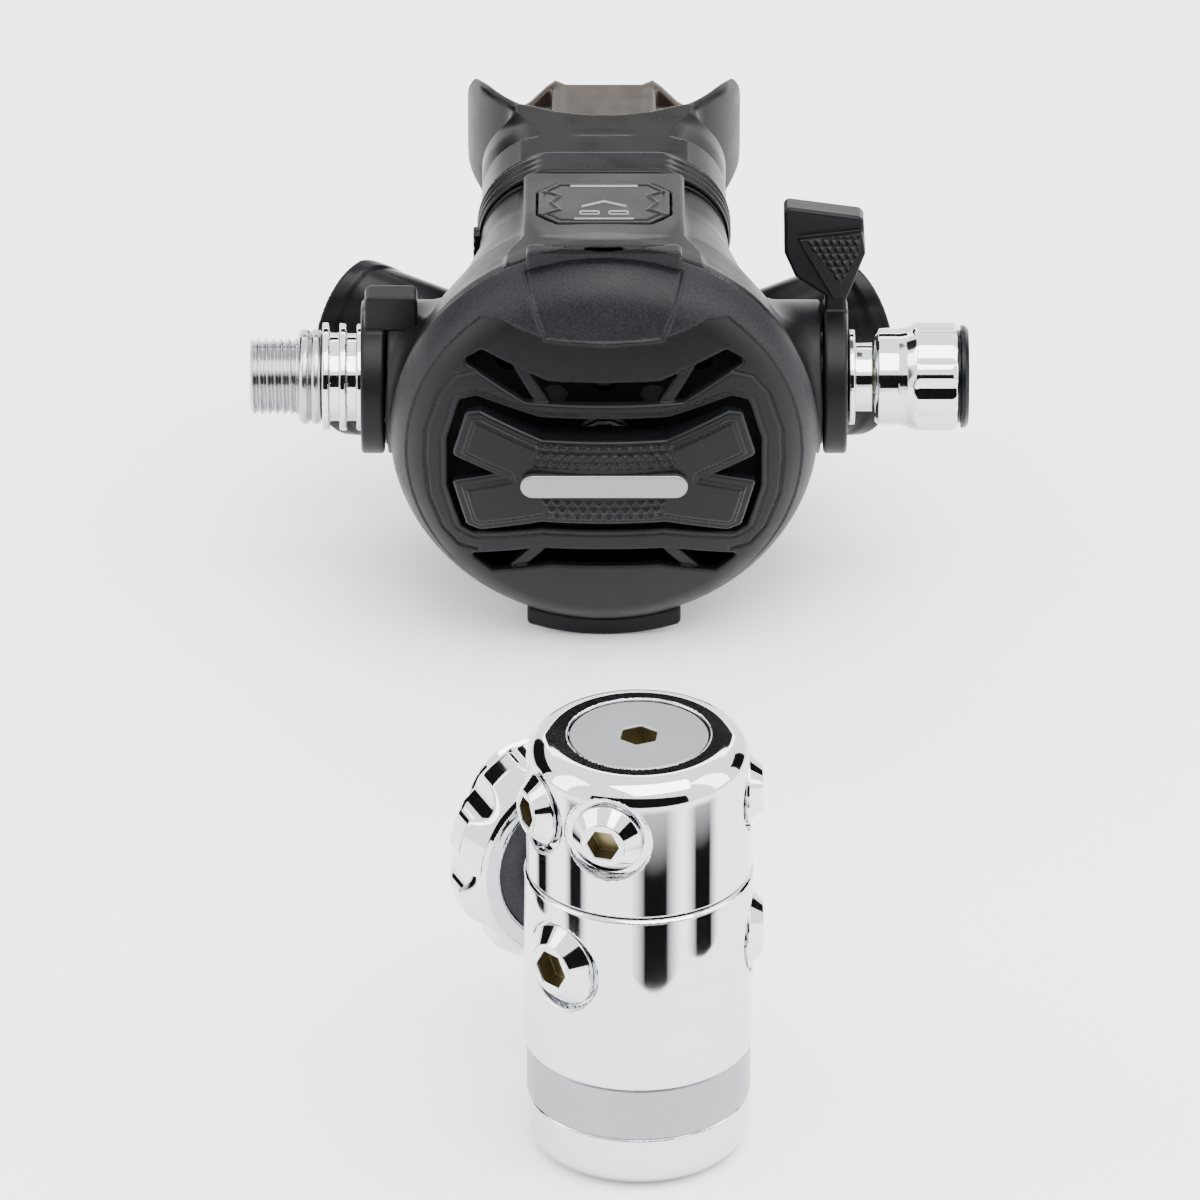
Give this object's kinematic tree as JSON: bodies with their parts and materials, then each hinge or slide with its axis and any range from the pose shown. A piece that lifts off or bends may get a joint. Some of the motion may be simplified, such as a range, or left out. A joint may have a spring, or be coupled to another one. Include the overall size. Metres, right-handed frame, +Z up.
{
  "type": "scuba regulator set",
  "caption": "Two-stage diving regulator: demand valve with purge cover, mouthpiece and exhaust tee, and a swivel-turret first stage with a screw-in cylinder connector.",
  "frame": {"origin": "on the standing surface, at the middle of the set's bounding box", "axes": "+Z up; +Y from the first stage and the front cover towards the mouthpiece; +X towards the adjusting knob"},
  "size_m": [0.1344, 0.295, 0.083],
  "materials": {
    "black_housing": "fine moulded grain",
    "black_cover": "coarser moulded grain with a smooth inner panel",
    "black_trim": "smooth satin",
    "silicone": "smooth translucent black",
    "inner_rubber": "matt",
    "seal_rubber": "matt",
    "white_plastic": "matt",
    "blue_nut": "anodised",
    "chrome": "mirror-bright plating",
    "satin_chrome": "satin plating",
    "inlet_steel": "bright zinc-like plating",
    "spring_steel": "drawn wire",
    "brass": "turned",
    "dark_inset": "satin",
    "silver_mark": "bright foil",
    "sintered": "sintered grains"
  },
  "bodies": {
    "second_stage": {"case": "black_housing", "front_cover": "black_cover", "diaphragm_cover": "black_trim", "diaphragm": "inner_rubber", "purge_spring": "spring_steel", "valve_barrel": "chrome", "heat_exchanger": "chrome", "inlet_fitting": "inlet_steel", "valve_orifice": "brass", "poppet_spring": "spring_steel", "adjusting_gland": "chrome", "blanking_plug": "black_housing", "exhaust_tee": "black_trim", "exhaust_valve": "inner_rubber", "tee_clip": "black_trim", "mouthpiece": "silicone", "mouthpiece_clip": "black_trim", "badge_plate": "black_trim", "second_stage_orings": "seal_rubber"},
    "purge": {"purge_button": "black_trim", "purge_badge": "silver_mark"},
    "diaphragm_centre": {"diaphragm_plate": "white_plastic"},
    "demand_lever": {"demand_lever": "spring_steel"},
    "poppet": {"poppet": "white_plastic", "poppet_seat": "inner_rubber", "lever_nut": "blue_nut"},
    "spring_pad": {"spring_pad": "white_plastic"},
    "adjuster": {"adjusting_screw": "brass", "adjusting_knob": "chrome", "knob_cap": "black_trim"},
    "venturi": {"venturi_lever": "black_housing", "venturi_vane": "black_trim"},
    "first_stage": {"body": "chrome", "diaphragm_clamp": "satin_chrome", "environmental_cap": "chrome", "environmental_diaphragm": "inner_rubber", "load_transmitter": "white_plastic", "spring_adjuster": "brass", "main_spring": "spring_steel", "main_diaphragm": "inner_rubber", "main_seat": "brass", "balance_plug": "brass", "main_valve_spring": "spring_steel", "gauge_plugs": "chrome", "turret_bolt": "satin_chrome", "turret_orings": "seal_rubber", "din_stem": "chrome", "din_filter": "sintered", "filter_clip": "spring_steel", "din_oring": "seal_rubber"},
    "turret": {"turret": "chrome", "lp_plugs": "chrome"},
    "main_valve": {"main_valve": "white_plastic", "valve_lifter": "spring_steel", "spring_button": "spring_steel"},
    "handwheel": {"din_handwheel": "chrome", "handwheel_inset": "dark_inset", "din_thread": "chrome"}
  },
  "joints": [
    {"name": "purge_press", "type": "slide", "parent": "second_stage", "child": "purge", "axis": [0, 0.9976, 0.0698], "range_m": [0, 0.0035], "stiffness_N_per_m": 400, "springref_m": -0.003},
    {"name": "diaphragm_push", "type": "slide", "parent": "second_stage", "child": "diaphragm_centre", "axis": [0, 0.9976, 0.0698], "range_m": [0, 0.0031]},
    {"name": "demand_lever_swing", "type": "hinge", "parent": "second_stage", "child": "demand_lever", "pos_m": [0.0074, 0.07036, 0.04399], "axis": [0, -0.0698, 0.9976], "range_deg": [-10.5, 0]},
    {"name": "poppet_slide", "type": "slide", "parent": "second_stage", "child": "poppet", "axis": [1, 0, 0], "range_m": [0, 0.0009]},
    {"name": "knob_travel", "type": "slide", "parent": "second_stage", "child": "spring_pad", "axis": [1, 0, 0], "range_m": [0, 0.002]},
    {"name": "knob_turn", "type": "hinge", "parent": "spring_pad", "child": "adjuster", "pos_m": [0.057, 0.07714, 0.04446], "axis": [1, 0, 0], "range_deg": [0, 722]},
    {"name": "venturi_turn", "type": "hinge", "parent": "second_stage", "child": "venturi", "pos_m": [0.042, 0.07714, 0.04446], "axis": [1, 0, 0], "range_deg": [-30, 26]},
    {"name": "first_stage_lift", "type": "slide", "parent": "second_stage", "child": "first_stage", "axis": [0, 0, 1], "range_m": [0, 0.12]},
    {"name": "turret_swivel", "type": "hinge", "parent": "first_stage", "child": "turret", "pos_m": [0.005, -0.1258, 0.068], "axis": [0, 0, 1], "continuous": true},
    {"name": "main_valve_lift", "type": "slide", "parent": "first_stage", "child": "main_valve", "axis": [0, 0, 1], "range_m": [0, 0.0008], "stiffness_N_per_m": 300, "springref_m": -0.001, "deforming": ["main_valve_spring"]},
    {"name": "handwheel_spin", "type": "hinge", "parent": "first_stage", "child": "handwheel", "pos_m": [-0.00672, -0.09818, 0.0424], "axis": [-0.3907, 0.9205, 0], "continuous": true}
  ],
  "couplings": [
    {"joint": "diaphragm_push", "follows": "purge_press", "ratio": 0.857},
    {"joint": "demand_lever_swing", "follows": "purge_press", "rad_per_m": -51},
    {"joint": "poppet_slide", "follows": "purge_press", "ratio": 0.2514},
    {"joint": "knob_turn", "follows": "knob_travel", "rad_per_m": 6283.2}
  ]
}
